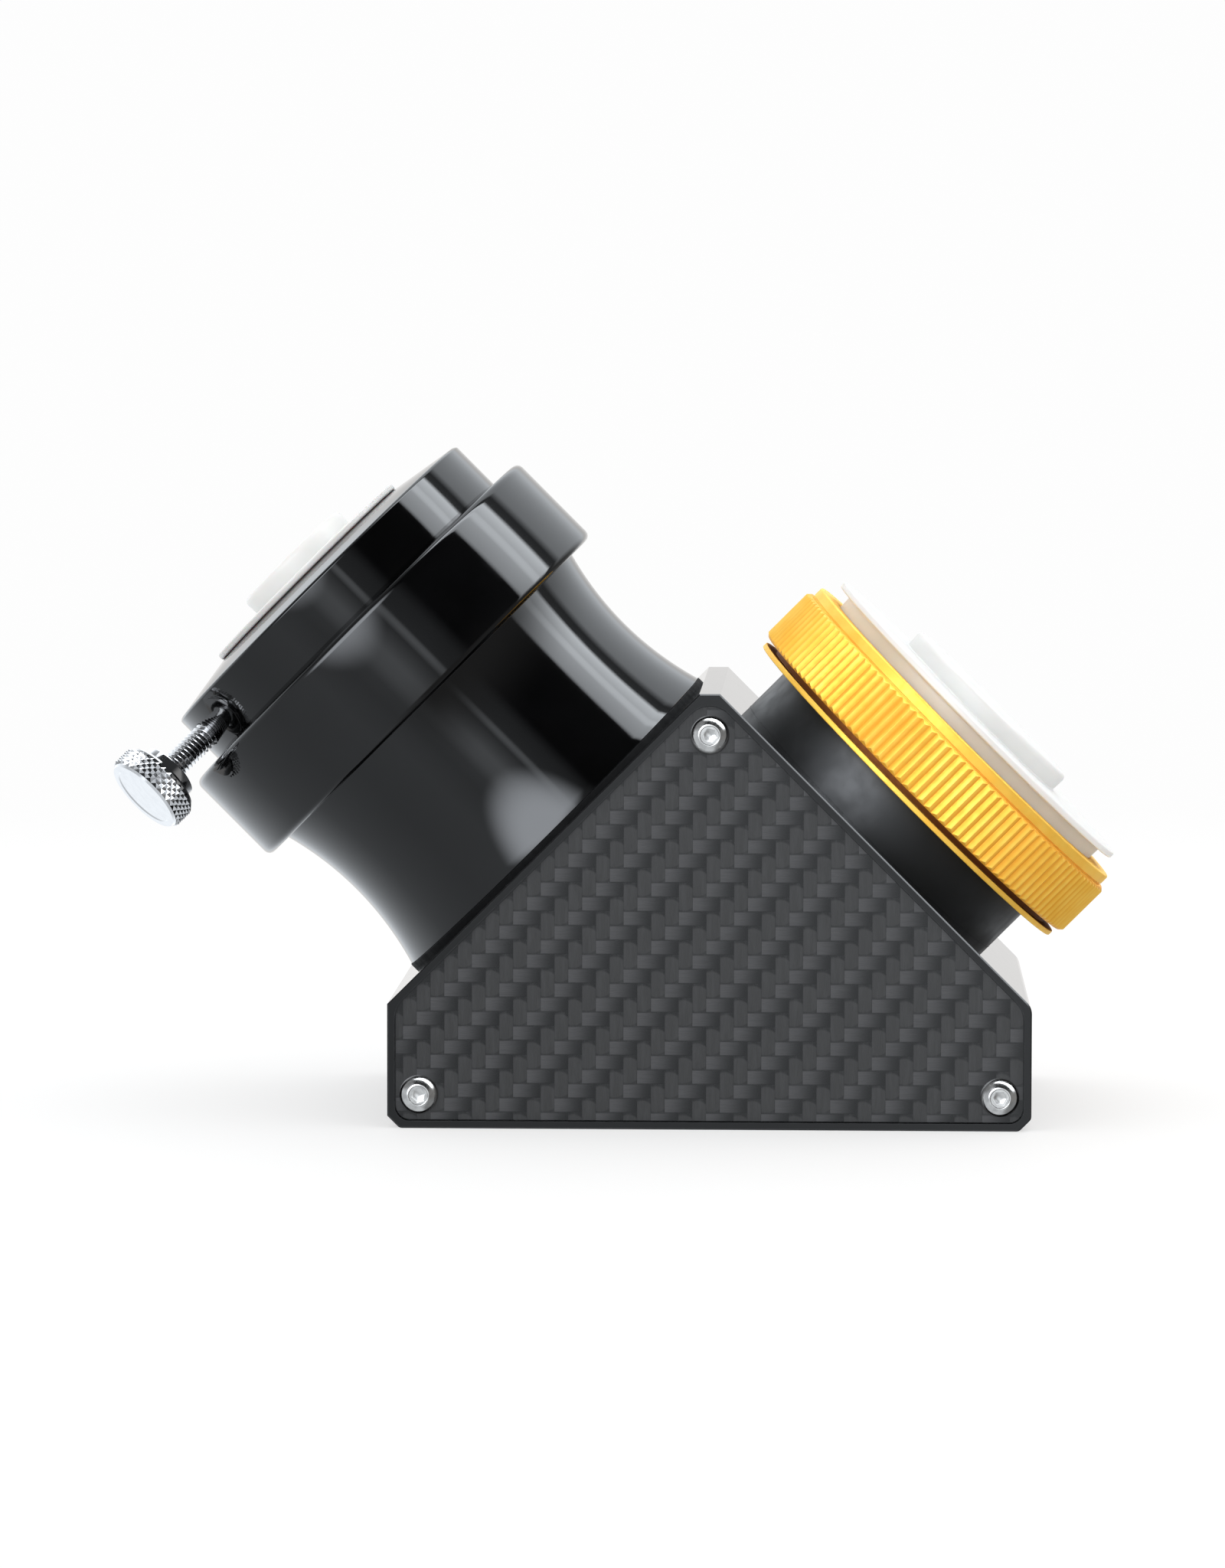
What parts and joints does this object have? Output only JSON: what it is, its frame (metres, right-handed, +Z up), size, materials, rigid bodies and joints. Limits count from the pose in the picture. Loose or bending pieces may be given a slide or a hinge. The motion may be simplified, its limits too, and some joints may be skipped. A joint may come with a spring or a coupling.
{
  "type": "star diagonal",
  "caption": "Ninety-degree mirror elbow for a telescope, with a clamping eyepiece holder and adapter on one side and a turning threaded coupling ring on the other.",
  "frame": {"origin": "middle of the housing's flat underside", "axes": "+Z up, away from the base; +X towards the telescope side; +Y towards the rear side panel; both optical axes lie in the XZ plane at 45 degrees and cross 18.4 mm above the origin"},
  "size_m": [0.1491, 0.0798, 0.0988],
  "materials": {
    "black_anodised": "glossy black anodised",
    "satin_black": "satin black anodised",
    "gold_anodised": "bright orange-gold anodised",
    "carbon_fibre": "woven carbon laminate under clear resin",
    "stainless_steel": "turned stainless steel",
    "blackened_steel": "black oxide",
    "bright_plating": "bright nickel-chrome plating",
    "brass": "satin turned brass",
    "mirror_glass": "front-coated optical flat",
    "rubber_pad": "matt foam rubber",
    "slip_plastic": "plain slip plastic",
    "white_plastic": "soft moulded white plastic"
  },
  "bodies": {
    "diagonal": {"housing": "black_anodised", "front_side_panel": "carbon_fibre", "rear_side_panel": "carbon_fibre", "front_panel_screws": "stainless_steel", "rear_panel_screws": "stainless_steel", "mirror": "mirror_glass", "mirror_pad": "rubber_pad", "back_plate": "black_anodised", "back_plate_screws": "blackened_steel", "holder_washer": "black_anodised", "eyepiece_holder": "black_anodised", "nose_tube": "satin_black", "nose_flange": "satin_black", "slip_washer": "slip_plastic", "holder_set_screws": "blackened_steel", "nose_set_screws": "blackened_steel"},
    "adapter": {"adapter_body": "black_anodised"},
    "adapter_clamp": {"adapter_compression_ring": "brass"},
    "adapter_screw": {"adapter_thumbscrew": "bright_plating"},
    "holder_clamp": {"holder_compression_ring": "brass"},
    "holder_screw": {"holder_thumbscrew": "bright_plating"},
    "coupling": {"coupling_ring": "gold_anodised"},
    "eyepiece_dust_cap": {"eyepiece_cap": "white_plastic"},
    "telescope_dust_cap": {"telescope_cap": "white_plastic"}
  },
  "joints": [
    {"name": "coupling_ring_turn", "type": "hinge", "parent": "diagonal", "child": "coupling", "pos_m": [0.03394, 0, 0.05234], "axis": [0.7071, 0, 0.7071], "continuous": true},
    {"name": "telescope_cap_pull", "type": "slide", "parent": "coupling", "child": "telescope_dust_cap", "axis": [0.7071, 0, 0.7071], "range_m": [0, 0.03]},
    {"name": "adapter_lift", "type": "slide", "parent": "diagonal", "child": "adapter", "axis": [-0.7071, 0, 0.7071], "range_m": [0, 0.035]},
    {"name": "eyepiece_cap_pull", "type": "slide", "parent": "adapter", "child": "eyepiece_dust_cap", "axis": [-0.7071, 0, 0.7071], "range_m": [0, 0.03]},
    {"name": "adapter_ring_press", "type": "slide", "parent": "adapter", "child": "adapter_clamp", "axis": [-0.6414, -0.421, -0.6414], "range_m": [-0.000496, 0.000195]},
    {"name": "adapter_screw_turn", "type": "hinge", "parent": "adapter_clamp", "child": "adapter_screw", "pos_m": [-0.05649, 0, 0.07489], "axis": [-0.6414, -0.421, -0.6414], "range_deg": [-310, 138]},
    {"name": "holder_ring_press", "type": "slide", "parent": "diagonal", "child": "holder_clamp", "axis": [0, 1, 0], "range_m": [-0.000496, 0.000195]},
    {"name": "holder_screw_turn", "type": "hinge", "parent": "holder_clamp", "child": "holder_screw", "pos_m": [-0.04829, 0, 0.06669], "axis": [0, 1, 0], "range_deg": [-310, 138]}
  ],
  "couplings": [
    {"joint": "adapter_screw_turn", "follows": "adapter_ring_press", "rad_per_m": 8976},
    {"joint": "holder_screw_turn", "follows": "holder_ring_press", "rad_per_m": 8976}
  ]
}
